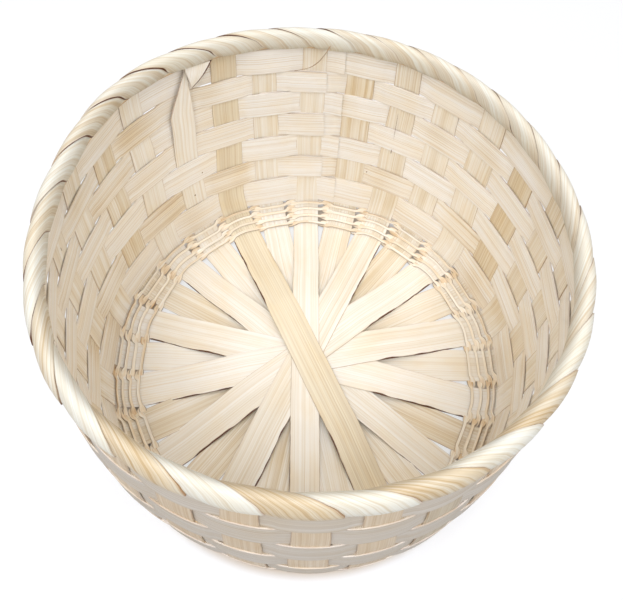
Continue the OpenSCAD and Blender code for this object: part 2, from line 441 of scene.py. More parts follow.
class Desk:
    """The nodes of a material or world, laid out as they are made."""

    def __init__(self, owner: bpy.types.Material | bpy.types.World) -> None:
        """Clears the owner's nodes.

        Args:
            owner: Material or world to build in.
        """
        owner.use_nodes = True
        self.tree = owner.node_tree
        self.tree.nodes.clear()
        self.made = 0

    def node(self, kind: str, inputs: dict | None = None, **settings: object) -> bpy.types.Node:
        """Adds a node.

        Args:
            kind: Blender's name of the node type.
            inputs: For each input, by name or number, a value or an output to link.
            settings: Attributes of the node to set first.

        Returns:
            The new node.
        """
        made = self.tree.nodes.new(kind)
        made.location = (self.made % 8 * 220, -(self.made // 8) * 260)
        self.made += 1
        for key, value in settings.items():
            setattr(made, key, value)
        for key, value in (inputs or {}).items():
            if isinstance(value, bpy.types.NodeSocket):
                self.tree.links.new(value, made.inputs[key])
            else:
                made.inputs[key].default_value = value
        return made

    def attribute(self, name: str, output: str = "Fac") -> bpy.types.NodeSocket:
        """What the mesh's points carry under a name."""
        return self.node("ShaderNodeAttribute", attribute_name=name).outputs[output]

    def maths(self, operation: str, *values: object, clamp: bool = False) -> bpy.types.NodeSocket:
        """Output of a Math node.

        Args:
            operation: Name of the operation.
            values: Its inputs, numbers or outputs.
            clamp: Whether the result stays between 0 and 1.

        Returns:
            The node's output.
        """
        made = self.node("ShaderNodeMath", dict(enumerate(values)), operation=operation, use_clamp=clamp)
        return made.outputs[0]

    def span(
        self, value: object, low: float, high: float, to_low: float = 0.0, to_high: float = 1.0
    ) -> bpy.types.NodeSocket:
        """Value moved from one span to another with an eased curve."""
        spans = {0: value, 1: low, 2: high, 3: to_low, 4: to_high}
        return self.node("ShaderNodeMapRange", spans, interpolation_type="SMOOTHSTEP").outputs[0]

    def mix(self, factor: object, a: object, b: object, blend: str = "MIX") -> bpy.types.NodeSocket:
        """Colour between a and b."""
        made = self.node("ShaderNodeMix", {0: factor, 6: a, 7: b}, data_type="RGBA", blend_type=blend)
        return made.outputs[2]

    def streaks(
        self, grain: object, along: float, across: float, detail: float, shift: float
    ) -> bpy.types.NodeSocket:
        """Noise drawn out along the fibres.

        Args:
            grain: Output with the place along and across the fibres.
            along: Length of a streak.
            across: Width of a streak.
            detail: Finer steps in the noise.
            shift: Moves the pattern, so that two differ.

        Returns:
            The noise, about 0 to 1.
        """
        scaled = self.node(
            "ShaderNodeVectorMath",
            {0: grain, 1: (1 / along, 1 / across, 7.31), 2: (shift, shift * 1.7, shift * 0.37)},
            operation="MULTIPLY_ADD",
        )
        inputs = {"Vector": scaled.outputs[0], "Scale": 1.0, "Detail": detail, "Roughness": 0.55}
        return self.node("ShaderNodeTexNoise", inputs).outputs[0]


@dataclass(frozen=True)
class SplintFinish:
    """Split bamboo: fibre lines, tanned and pale parts, brown cut edges, satin gloss.

    The body, pale and tan colours are those of the face. The fibre, warm and skin
    colours tint them, cut is that of the edge and gap that of the painted shade beside it.
    """

    name: str
    body: tuple[float, float, float, float]
    pale: tuple[float, float, float, float]
    tan: tuple[float, float, float, float]
    fibre: tuple[float, float, float, float]
    skin: tuple[float, float, float, float] = srgb(205, 199, 192)
    warm: tuple[float, float, float, float] = srgb(250, 234, 200)
    cut: tuple[float, float, float, float] = srgb(150, 104, 66)
    # gap is the colour of the painted shade in the gap beside an edge.
    gap: tuple[float, float, float, float] = srgb(92, 54, 32)
    fibre_share: float = 0.5
    line_width: float = 0.6 * MM
    edge_width: float = 0.38 * MM
    edge_share: float = 0.75
    gap_shade_reach: float = 0.72 * MM
    roughness: float = 0.42
    gloss: float = 0.5
    satin: float = 0.65

    def material(self) -> bpy.types.Material:
        """Makes the node material.

        Returns:
            The material.
        """
        made = bpy.data.materials.new(self.name)
        desk = Desk(made)
        grain = desk.attribute("grain", "Vector")
        lines = desk.streaks(grain, 260 * MM, self.line_width, 3.0, 11.0)
        fine = desk.streaks(grain, 90 * MM, 0.3 * MM, 4.0, 23.0)
        colour = self._edged(desk, grain, self._fibred(desk, grain, lines, fine))
        skinned = desk.mix(1.0, colour, self.skin, "MULTIPLY")
        colour = desk.mix(desk.attribute("skin"), colour, skinned)
        height = desk.maths("MULTIPLY_ADD", lines, 0.6, desk.maths("MULTIPLY", fine, 0.4))
        bump = desk.node("ShaderNodeBump", {"Strength": 0.35, "Distance": 0.12 * MM, "Height": height})
        rough = desk.span(fine, 0.25, 0.8, self.roughness - 0.06, self.roughness + 0.14)
        tangent = desk.node("ShaderNodeTangent", direction_type="UV_MAP", uv_map="FibreMap")
        shader = desk.node(
            "ShaderNodeBsdfPrincipled",
            {
                "Base Color": colour,
                "Roughness": rough,
                "IOR": 1.45,
                "Specular IOR Level": self.gloss,
                "Anisotropic": self.satin,
                "Tangent": tangent.outputs[0],
                "Normal": bump.outputs[0],
            },
        )
        desk.node("ShaderNodeOutputMaterial", {"Surface": shader.outputs[0]})
        return made

    def _fibred(self, desk: Desk, grain: object, lines: object, fine: object) -> bpy.types.NodeSocket:
        """Colour of the face.

        Args:
            desk: Desk of the material.
            grain: Output with the place along and across the fibres.
            lines: Noise of the fibre lines.
            fine: Noise of the finest fibres.

        Returns:
            The colour, with tanned and pale parts, bands, clouds and fibres.
        """
        tone = desk.attribute("tone")
        tanned = desk.span(tone, -1.0, 0.0, 1.0, 0.0)
        colour = desk.mix(desk.maths("MULTIPLY", tanned, 0.92), self.body, self.tan)
        colour = desk.mix(desk.span(tone, 0.0, 1.0), colour, self.pale)
        bands = desk.span(desk.streaks(grain, 200 * MM, 1.9 * MM, 3.0, 3.0), 0.42, 0.6, 0.0, 0.75)
        plain = desk.maths("MULTIPLY_ADD", tanned, -0.65, 1.0)
        colour = desk.mix(desk.maths("MULTIPLY", bands, plain), colour, self.pale)
        clouds = desk.span(desk.streaks(grain, 22 * MM, 11 * MM, 3.0, 31.0), 0.42, 0.72, 0.0, 0.3)
        colour = desk.mix(clouds, colour, desk.mix(1.0, colour, self.warm, "MULTIPLY"))
        dark = desk.mix(1.0, colour, self.fibre, "MULTIPLY")
        more = desk.maths("MULTIPLY_ADD", tanned, 1.1 * self.fibre_share, self.fibre_share)
        lined = desk.maths("MULTIPLY", desk.span(lines, 0.46, 0.64), more, clamp=True)
        colour = desk.mix(lined, colour, dark)
        colour = desk.mix(desk.span(fine, 0.48, 0.66, 0.0, self.fibre_share), colour, dark)
        return desk.mix(desk.span(fine, 0.34, 0.46, 0.35, 0.0), colour, self.pale)

    def _edged(self, desk: Desk, grain: object, colour: object) -> bpy.types.NodeSocket:
        """Colour with the ragged brown cut edges, and painted shade beside the edge where gap_shade is set.
        """
        edge, gap_shade = desk.attribute("edge_distance"), desk.attribute("gap_shade")
        ragged = desk.maths(
            "MULTIPLY_ADD", desk.streaks(grain, 5 * MM, 3 * MM, 2.0, 47.0), 0.9 * self.edge_width, edge
        )
        near = desk.span(ragged, 0.45 * self.edge_width, 1.25 * self.edge_width, self.edge_share, 0.0)
        patches = desk.span(desk.streaks(grain, 18 * MM, 40 * MM, 2.0, 59.0), 0.35, 0.62, 0.35, 1.0)
        colour = desk.mix(desk.maths("MULTIPLY", near, patches), colour, self.cut)
        # Painted shade: a dark band along the edge, wider and darker as gap_shade grows.
        deep = desk.maths("MULTIPLY_ADD", gap_shade, -self.gap_shade_reach, ragged)
        gap = desk.maths("MULTIPLY", desk.span(deep, -0.1 * MM, 0.25 * MM, 1.0, 0.0), gap_shade)
        return desk.mix(desk.maths("MULTIPLY", gap, 1.8, clamp=True), colour, self.gap)


class Finishes:
    """The basket's finishes, each made once when it is first wanted."""

    BASE = SplintFinish(
        "base_splint", srgb(244, 238, 226), srgb(255, 253, 249), srgb(225, 207, 172),
        srgb(226, 209, 182), skin=srgb(214, 200, 182), fibre_share=0.3, line_width=0.5 * MM, edge_share=0.5,
    )
    GOLDEN = SplintFinish(
        "golden_splint", srgb(231, 220, 198), srgb(246, 238, 218), srgb(222, 200, 166),
        srgb(226, 208, 176), fibre_share=0.35, line_width=0.45 * MM, edge_share=0.5,
    )
    STRAND = SplintFinish(
        "twine_strand", srgb(250, 240, 222), srgb(255, 253, 247), srgb(228, 203, 166),
        srgb(226, 204, 172), fibre_share=0.4, line_width=0.35 * MM, edge_width=0.24 * MM, edge_share=0.45,
    )
    WEAVER = SplintFinish(
        "wall_weaver", srgb(252, 247, 238), srgb(255, 254, 253), srgb(234, 218, 189),
        srgb(220, 205, 182), line_width=0.55 * MM, edge_share=0.35, roughness=0.34, gloss=0.6,
    )
    HOOP = SplintFinish(
        "rim_hoop", srgb(228, 206, 170), srgb(240, 224, 196), srgb(210, 180, 136),
        srgb(220, 190, 150),
    )
    WRAP = SplintFinish(
        "rim_wrap", srgb(212, 203, 187), srgb(223, 223, 216), srgb(202, 184, 154),
        srgb(224, 207, 180), fibre_share=0.4, edge_width=0.45 * MM, edge_share=0.6,
        roughness=0.46, gloss=0.35,
    )
    NICK = SplintFinish(
        "base_nick", srgb(112, 78, 50), srgb(140, 100, 66), srgb(92, 60, 38), srgb(150, 120, 90),
    )

    def __init__(self) -> None:
        """Starts with no material made."""
        self.made: dict[str, bpy.types.Material] = {}

    def of(self, finish: SplintFinish) -> bpy.types.Material:
        """The material of a finish."""
        if finish.name not in self.made:
            self.made[finish.name] = finish.material()
        return self.made[finish.name]


def dress(obj: bpy.types.Object, material: bpy.types.Material, slot: str, *nodes: str) -> bpy.types.Object:
    """Gives a piece its finish and its place in the frame.

    Args:
        obj: The piece.
        material: Its material.
        slot: Name of the slot that it belongs to, shown in the log.
        nodes: CAD nodes that it stands for.

    Returns:
        The piece.
    """
    obj.data.materials.clear()
    obj.data.materials.append(material)
    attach(obj, "root")
    if nodes:
        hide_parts(*nodes)
    LOG.info("%s: %d faces, slot %s", obj.name, len(obj.data.polygons), slot)
    return obj


@dataclass(frozen=True)
class StakeHabit:
    """How one stake strays: its shifts clockwise, its widths and its colours.

    The floor shift and width are at the turn, in millimetres. The wall shifts are low,
    half way and high on the wall. The wall width is a share of the usual one.
    """

    floor_shift: float = 0.0
    floor_width: float = 13.8
    floor_tone: float = 0.1
    wall_shift: tuple[float, float, float] = (0.0, 0.0, 0.0)
    wall_width: float = 1.0
    wall_tone: float = 0.0


# How strong the painted shade is in the gap beside a spoke of the top layer, plus on its clockwise edge and
# minus on the other.
FLOOR_GAP_SHADES: dict[int, float] = {
    2: 0.7, 4: 0.9, 6: 0.9, 8: 1.0, 10: 0.4, 12: 0.8, 14: 0.5,
    16: -0.8, 18: -1.0, 20: -0.8, 22: -0.9, 24: -0.6, 26: -0.9,
}


def weaver_face(row: int, stake: int) -> Face:
    """Side on which a weaver passes a stake. The top rows all pass outside the loose one."""
    if stake == LOOSE_STAKE and row < 4:
        return Face.OUTSIDE
    return Face.OUTSIDE if (row + stake) % 2 == 1 else Face.INSIDE


@dataclass
class Weave:
    """Where the seven rows of the wall lie.

    Each line of borders holds the height in millimetres at the back, the right, the
    front and the left, from the top edge of row 1 to the bottom edge of row 7.
    """

    form: BasketForm
    rows: int = 7
    play: float = 0.22 * MM
    borders: tuple[tuple[float, float, float, float], ...] = (
        (110.6, 110.4, 110.4, 110.2),
        (97.0, 96.4, 96.9, 96.4),
        (84.9, 84.2, 83.5, 84.0),
        (71.2, 70.3, 69.4, 70.0),
        (56.8, 56.5, 55.2, 55.8),
        (41.8, 42.2, 40.8, 40.3),
        (27.2, 28.0, 26.4, 25.8),
        (8.9, 9.3, 9.2, 8.9),
    )

    def band(self, row: int, angle: Array) -> tuple[Array, Array]:
        """Lower and upper edge of a row, as distances along the wall line.

        Args:
            row: Row number from the top, 1 to 7.
            angle: Angles clockwise from +Y.

        Returns:
            Distances of the lower and the upper edge at each angle.
        """
        high, low = (
            self.form.place_at_height(ring_values(angle, self.borders[n]) * MM) for n in (row - 1, row)
        )
        return low + self.play, high - self.play


STAKE_HABITS: tuple[StakeHabit, ...] = (
    StakeHabit(-1.7, 12.4, 0.3, (-1.8, -1.0, 0.1), 0.92, -0.2),
    StakeHabit(-1.9, 14.0, -0.25, (-0.8, -0.6, -0.2), 1.03, -0.6),
    StakeHabit(-1.8, 14.1, -0.1, (-0.8, -1.0, -0.2), 1.0, -0.42),
    StakeHabit(-1.9, 14.1, -0.55, (-1.0, -1.5, -1.1), 1.01, -0.32),
    StakeHabit(-2.0, 14.2, 0.25, (0.8, -1.3, 0.2), 1.07, -0.36),
    StakeHabit(-0.9, 15.4, -0.35, (1.4, 0.3, 1.5), 1.1, -1.15),
    StakeHabit(0.3, 15.0, 0.3, (3.0, 1.4, 4.2), 1.08, -0.5),
    StakeHabit(0.6, 15.0, 0.25, (2.4, 1.0, 2.6), 0.98, -0.4),
    StakeHabit(1.0, 14.7, 1.0, (0.8, 0.6, 0.8), 1.0, -0.3),
    StakeHabit(1.2, 13.6, -0.5, wall_tone=-0.3),
    StakeHabit(0.8, 13.6, 0.3, wall_tone=-0.3),
    StakeHabit(-0.4, 13.4, -0.3, wall_tone=-0.3),
    StakeHabit(-0.5, 13.6, 0.0, wall_tone=0.0),
    StakeHabit(0.2, 13.4, 0.1, wall_tone=-0.3),
    StakeHabit(0.7, 12.4, 0.35, wall_tone=-0.3),
    StakeHabit(1.4, 13.8, -0.5, wall_tone=-0.3),
    StakeHabit(2.0, 13.8, -0.1, wall_tone=-0.4),
    StakeHabit(2.4, 13.5, -0.5, wall_tone=-0.3),
    StakeHabit(2.4, 14.0, 0.35, wall_tone=-0.3),
    StakeHabit(1.8, 14.8, -0.45, wall_tone=-0.35),
    StakeHabit(1.6, 14.8, 1.0, (0.6, 0.6, 0.6), 1.0, -0.4),
    StakeHabit(0.4, 13.2, 0.7, (0.0, 1.5, 2.2), 0.96, -0.3),
    StakeHabit(-0.45, 14.5, 0.45, (-1.4, 1.6, 1.3), 1.0, -0.38),
    StakeHabit(-0.4, 14.1, -0.4, (0.3, 2.4, 2.3), 0.98, -0.6),
    StakeHabit(-0.2, 13.4, 0.4, (-0.9, 1.4, 0.8), 0.9, -0.02),
    StakeHabit(0.2, 13.6, 0.3, (0.0, 0.6, 2.8), 0.88, 0.0),
    StakeHabit(0.0, 14.0, 0.0, (-1.6, 1.2, 1.9), 0.97, -0.2),
    StakeHabit(-0.8, 13.1, 0.3, (-1.5, -1.2, -0.9), 0.92, -0.15),
)


def habits_of(stake: int) -> tuple[StakeHabit, StakeHabit]:
    """Habits of a stake and of the one at the other end of its strip."""
    return STAKE_HABITS[stake], STAKE_HABITS[(stake + STRIPS) % STAKES]


@dataclass
class HalfStrip:
    """Stations of one half of a base strip, from the axis out and up to its tip.

    The place s is the distance along the wall line, r and z are those of the middle,
    into points inwards, and across is how far the half lies clockwise of its place.
    """

    s: Array
    r: Array
    z: Array
    into: Array
    across: Array
    half_width: Array
    tone: Array
    gap_shades: Array


@dataclass
class BaseStrips:
    """Fourteen strips that cross under the floor and turn up as the stakes."""

    form: BasketForm
    weave: Weave
    golden: int = 13
    stack_play: float = 0.02 * MM
    stack_half_width: float = 6.2 * MM
    bend: float = 0.12 * MM
    tip_reach: float = 1.2 * MM
    loose_tip_reach: float = -4.2 * MM
    loose_lift: float = 0.9 * MM
    wall_widths: tuple[float, ...] = (13.5, 13.3, 13.0, 12.4, 11.3, 10.1, 9.5)
    width_heights: tuple[float, ...] = (8, 18, 34, 52, 77, 103, 118)

    def build(self, finishes: Finishes) -> None:
        """Makes and dresses all the strips."""
        for number in range(1, STRIPS + 1):
            finish = Finishes.GOLDEN if number == self.golden else Finishes.BASE
            ribbon = self._strip(number)
            dress(ribbon.build(self.form), finishes.of(finish), finish.name, f"base_strip_{number:02d}")

    def _level(self, k: int) -> int:
        """Place of strip k, 0 to 13, in the stack at the middle, 0 at the bottom."""
        return (7 if k % 2 == 0 else 0) + ((10 + k % 2 - k + STRIPS) % STRIPS) // 2

    def _floor_height(self, level: int, r: Array) -> Array:
        """Height of a strip's middle over the floor at radii r."""
        form = self.form
        rise = form.splint + self.stack_play
        stack = level * rise + form.splint / 2
        half = self.stack_half_width
        inner = half / math.tan(STEP) + 1 * MM
        spread = half / math.tan(STEP / 2) + 1 * MM
        if level >= STRIPS // 2:
            start = (inner + half * math.sin(STEP)) / math.cos(STEP)
            places = (0, start, spread, spread + 5 * MM)
            heights = (stack, stack, form.floor_level + rise, form.floor_level)
        else:
            places = (0, inner, inner + 0.72 * (spread - inner))
            heights = (stack, stack, form.floor_level)
        return np.interp(r, places, heights)

    def _half(self, stake: int) -> HalfStrip:
        """One half of a strip, from the axis out and up to its tip.

        Args:
            stake: Stake at this end, 0 to 27.

        Returns:
            The stations of this half.
        """
        form = self.form
        loose = stake == LOOSE_STAKE
        tip = form.rim_place + (self.loose_tip_reach if loose else self.tip_reach)
        s = np.concatenate(
            [
                np.arange(0, form.turn_start, 1.6 * MM),
                np.linspace(form.turn_start, form.wall_start, 14)[:-1],
                np.linspace(form.wall_start, tip, 78),
            ]
        )
        line, into = form.line(s), form.inward(s)
        floor = s < form.turn_start
        fine = np.arange(0, form.turn_start + 12 * MM, 0.5 * MM)
        profile = blurred(self._floor_height(self._level(stake % STRIPS), fine), 6)
        offset = self._bends(stake, s)
        if loose:
            offset += self.loose_lift * smooth((s - form.place_at_height(60 * MM)) / (25 * MM))
        r = np.where(floor, s, line[:, 0]) + into[:, 0] * offset
        z = np.where(floor, np.interp(s, fine, profile), line[:, 1]) + into[:, 1] * offset
        z += np.where(floor, 0.06 * MM * Wander(stake + 60, 30 * MM)(s), 0)
        return HalfStrip(
            s, r, z, into, self._across(stake, s), self._half_width(stake, s),
            self._tone(stake, s), self._gap_shades(stake, s),
        )

    def _bends(self, stake: int, s: Array) -> Array:
        """How far a stake is pushed in or out where the weavers pass it."""
        angle = stake * STEP
        places, pushes = [self.form.wall_start], [0.0]
        for row in range(self.weave.rows, 0, -1):
            low, high = self.weave.band(row, np.array([angle]))
            places.append(float(low[0] + high[0]) / 2)
            pushes.append(self.bend * weaver_face(row, stake).value)
        places.append(self.form.rim_place - 3.6 * MM)
        pushes.append(0.0)
        fine = np.arange(0, self.form.rim_place + 5 * MM, 0.5 * MM)
        return np.interp(s, fine, blurred(np.interp(fine, places, pushes), 8))

    def _across(self, stake: int, s: Array) -> Array:
        """How far a stake lies clockwise of its place, at distances s."""
        habit, other = habits_of(stake)
        form = self.form
        centre = (habit.floor_shift - other.floor_shift) / 2
        on_wall = [form.place_at_height(h * MM) / MM for h in (*SHIFT_HEIGHTS, 118)]
        shifts = [centre, habit.floor_shift, *habit.wall_shift, habit.wall_shift[-1]]
        across = blurred(np.interp(s / MM, [0, form.turn_start / MM, *on_wall], shifts), 5)
        across[0] = centre
        return (across + 0.2 * Wander(stake + 90, 60 * MM)(s) * smooth(s / (40 * MM))) * MM

    def _half_width(self, stake: int, s: Array) -> Array:
        """Half the width of a strip at distances s."""
        habit, other = habits_of(stake)
        height = self.form.line(s)[:, 1] / MM
        usual = np.interp(height, self.width_heights, self.wall_widths) * habit.wall_width
        middle = (habit.floor_width + other.floor_width) / 2
        on_floor = middle + (habit.floor_width - middle) * smooth(s / (50 * MM))
        width = on_floor + (usual - on_floor) * smooth((s - self.form.turn_start) / (16 * MM))
        return width * (1 + 0.02 * Wander(stake + 120, 45 * MM)(s) * smooth(s / (40 * MM))) / 2 * MM

    def _tone(self, stake: int, s: Array) -> Array:
        """How pale or tanned a strip is at distances s."""
        habit, other = habits_of(stake)
        middle = (habit.floor_tone + other.floor_tone) / 2
        tone = middle + (habit.floor_tone - middle) * smooth((s - 12 * MM) / (30 * MM))
        # Up the wall the strip goes over to the stake's wall tone, darker than on the floor for most stakes.
        tone += (habit.wall_tone - tone) * smooth((s - 86 * MM) / (18 * MM))
        return tone + 0.15 * Wander(stake + 150, 70 * MM)(s) * smooth(s / (40 * MM))

    def _gap_shades(self, stake: int, s: Array) -> Array:
        """How strong the painted shade in the gaps on the two sides of a spoke is at distances s."""
        strong = FLOOR_GAP_SHADES.get(stake, 0.0)
        reach = smooth((s - 27 * MM) / (9 * MM)) * (1 - smooth((s - 72 * MM) / (2 * MM)))
        reach *= np.clip(0.75 + 0.5 * Wander(stake + 200, 24 * MM)(s), 0, 1)
        return np.stack([max(-strong, 0.0) * reach, max(strong, 0.0) * reach], -1)

    def _laid(self, stake: int, sign: int) -> tuple[Array, ...]:
        """One half laid in its place.

        Args:
            stake: Stake at this end.
            sign: 1 for the half that the strip ends with, -1 for the one it starts with.

        Returns:
            Middle, side, face, half width, tone and painted gap shades of its stations.
        """
        half = self._half(stake)
        turn_start = self.form.turn_start
        angle = stake * STEP
        on_wall = smooth((half.s - turn_start) / (10 * MM))
        inset = (half.r - np.sqrt(np.maximum(half.r**2 - half.across**2, 0))) * on_wall
        turned = angle + half.across / np.maximum(half.r, 1 * MM) * on_wall
        middle = ring_point(angle, half.across, half.r - inset, half.z)
        side = ring_point(turned, sign * 1.0, 0.0, 0.0)
        face = ring_point(turned, 0.0, half.into[:, 0], half.into[:, 1])
        face[half.s < turn_start] = [0, 0, 1]
        return middle, side, face, half.half_width, half.tone, half.gap_shades[:, ::sign]

    def _strip(self, number: int) -> Ribbon:
        """The whole strip, from one tip through the middle to the other tip."""
        stake = number - 1
        far, near = self._laid(stake + STRIPS, -1), self._laid(stake, 1)
        middle, side, face, width, tone, gap_shades = (
            np.concatenate([a[:0:-1], b]) for a, b in zip(far, near)
        )
        if LOOSE_STAKE % STRIPS == stake:
            width, middle = self._loose_tip(middle, side, width)
        crown = (0.05 - 0.25 * smooth((middle[:, 2] - 6 * MM) / (12 * MM))) * MM
        return Ribbon(
            f"strip_{number:02d}", middle, side, face, width, self.form.splint, tone,
            number * 1.7, crown=crown, gap_shades=gap_shades,
        )

    def _loose_tip(self, middle: Array, side: Array, width: Array) -> tuple[Array, Array]:
        """Narrows the tip that slipped out of the rim to a slanting point.

        Args:
            middle: Middle of the strip, from this tip.
            side: Direction of its side.
            width: Its half width.

        Returns:
            The new half width and middle.
        """
        steps = np.linalg.norm(np.diff(middle, axis=0), axis=1)
        t = np.clip(1 - np.concatenate([[0], np.cumsum(steps)]) / (24 * MM), 0, 1)
        left = width * (1 - t**1.15)
        shift = (width - left) * 0.62
        return np.maximum(left, 0.5 * MM), middle - side * shift[:, None]


@dataclass
class TwinedTurn:
    """Four rows of paired strands that wind round each other between the stakes."""

    form: BasketForm
    rows: int = 4
    width: float = 1.22 * MM
    thickness: float = 0.6 * MM
    stagger: float = 0.7 * MM
    half_spoke: float = 6.45 * MM
    bulge: float = 0.4 * MM
    sway: float = 0.4 * MM
    per_step: int = 18

    def build(self, finishes: Finishes) -> None:
        """Makes and dresses the eight strands."""
        for row in range(1, self.rows + 1):
            for name, phase in (("a", 0.0), ("b", math.pi)):
                ribbon = self._strand(row, name, phase)
                dress(
                    ribbon.build(self.form), finishes.of(Finishes.STRAND), "twine_strand",
                    f"twine_row_{row}_strand_{name}",
                )

    def _strand(self, row: int, name: str, phase: float) -> Ribbon:
        """One strand all the way round.

        Args:
            row: Row number from the floor, 1 to 4.
            name: The strand's letter in its pair.
            phase: Where it starts in the twist, in radians.

        Returns:
            The strand.
        """
        u = np.arange(STAKES * self.per_step) / self.per_step
        from_stake = np.abs(u - np.round(u))
        middle, into = self._path(row, u, phase)
        face = ring_point(u * STEP, 0.0, into[:, 0], into[:, 1])
        ahead = unit(np.roll(middle, -1, 0) - np.roll(middle, 1, 0))
        side = unit(np.cross(face, ahead))
        seed = row * 10 + (1 if name == "a" else 2)
        crossing = smooth((from_stake - 0.33) / 0.1)
        width = self.width / 2 * (1 + 0.15 * Wander(seed + 40, 6.0)(u)) * (1 + 1.1 * crossing)
        # Where strands cross between stakes they are painted darker, and dark sets painted shade along their
        # edges, for the shaded holes there.
        tone = 0.15 + 0.7 * Wander(seed + 80, 5.0)(u) + (0.2 if row == 1 else 0) - 0.5 * crossing
        dark = np.clip(crossing * (0.15 + 0.35 * Wander(seed + 90, 1.7)(u)), 0, 1)
        return Ribbon(
            f"strand_{row}{name}", middle, side, unit(np.cross(ahead, side)), width, self.thickness,
            tone, seed * 1.3, across=4, closed=True, gap_shades=np.stack([dark, dark], -1),
        )

    def _path(self, row: int, u: Array, phase: float) -> tuple[Array, Array]:
        """Way of a strand at places u, counted in stakes.

        Args:
            row: Row number from the floor.
            u: Places round the ring.
            phase: Where the strand starts in the twist.

        Returns:
            The strand's middle and the inward direction of the wall line there.
        """
        form = self.form
        nearest = np.round(u)
        from_stake = np.abs(u - nearest)
        s0 = form.floor_radius + (row - 0.5) * form.twine_pitch
        edge = self.half_spoke / (form.line(np.array([s0]))[0, 0] * STEP)
        turn = smooth((from_stake - edge + 0.09) / (0.59 - edge)) / 2
        phi = math.pi * (nearest + np.sign(u - nearest) * turn) + phase
        lift = (form.splint + self.thickness) / 2 + form.play
        height = (lift + self.bulge * np.cos(from_stake * math.pi)) * np.cos(phi)
        swing = 0.97 * (self.width / 2 + 0.02 * MM) * np.sin(phi)
        s = s0 + swing + self.sway * Wander(row, 7.0)(u) + self.stagger * np.cos(math.pi * u)
        line, into = form.line(s), form.inward(s)
        radius = line[:, 0] + into[:, 0] * height
        gap = smooth((from_stake - edge + 0.05) / 0.1)
        flat = np.where(gap < 1, np.cos((u - nearest) * STEP), 1.0)
        bow = self.half_spoke**2 / (2 * line[:, 0])
        out = radius * flat * (1 - gap) + (radius + bow) * gap
        return ring_point(u * STEP, 0.0, out, line[:, 1] + into[:, 1] * height), into


# Colour of each weaver at eight equal steps clockwise from the back.
ROW_TONES: tuple[tuple[float, ...], ...] = (
    (0.55, 0.5, 0.2, 0.3, 0.3, 0.2, 0.3, 0.55),
    (0.1, 0.2, -0.1, 0.3, 0.3, 0.2, -0.1, -0.2),
    (0.3, 0.0, 0.0, 0.2, 0.3, 0.2, -0.2, -0.1),
    (0.3, 0.3, 0.1, 0.3, 0.3, 0.2, 0.1, 0.25),
    (0.6, 0.6, 0.2, 0.3, 0.3, 0.2, 0.2, 0.35),
    (-0.2, -0.35, -0.2, 0.2, 0.3, 0.2, -0.4, -0.45),
    (0.2, 0.0, -0.2, 0.2, 0.3, 0.2, -0.3, 0.0),
)


# Places where a weaver is paler or browner: row, stake, reach in stakes, strength. The strong pale spots are
# painted satin highlights.
PAINTED_SATIN_AND_TONE_SPOTS: tuple[tuple[int, float, float, float], ...] = (
    (1, 26.75, 0.3, 0.7), (1, 0.9, 0.5, 0.35), (1, 3.0, 0.5, -0.3), (1, 24.6, 0.5, 0.3),
    (1, 5.0, 0.5, 0.3),
    (2, 27.9, 0.45, 1.0), (2, 2.45, 0.25, 0.8), (2, 0.7, 0.35, -0.4), (2, 4.0, 0.6, -0.6),
    (2, 24.0, 0.6, -0.6),
    (3, 26.7, 0.25, 0.7), (3, 1.25, 0.3, 0.6), (3, 3.0, 0.5, -0.3), (3, 24.9, 0.5, 0.4), (3, 0.6, 0.2, -0.5),
    (4, 27.95, 0.42, 1.2), (4, 1.8, 0.4, 0.4), (4, 4.1, 0.5, -0.2), (4, 23.9, 0.6, -0.3),
    (5, 26.75, 0.35, 1.0), (5, 0.9, 0.6, 0.4), (5, 3.0, 0.5, 0.6), (5, 24.7, 0.5, 0.4),
    (6, 27.95, 0.42, 1.2), (6, 2.0, 0.45, -0.3), (6, 25.9, 0.5, -0.4),
    (7, 0.9, 0.5, 0.4), (7, 27.0, 0.5, 0.2), (7, 24.5, 0.7, -0.3),
)


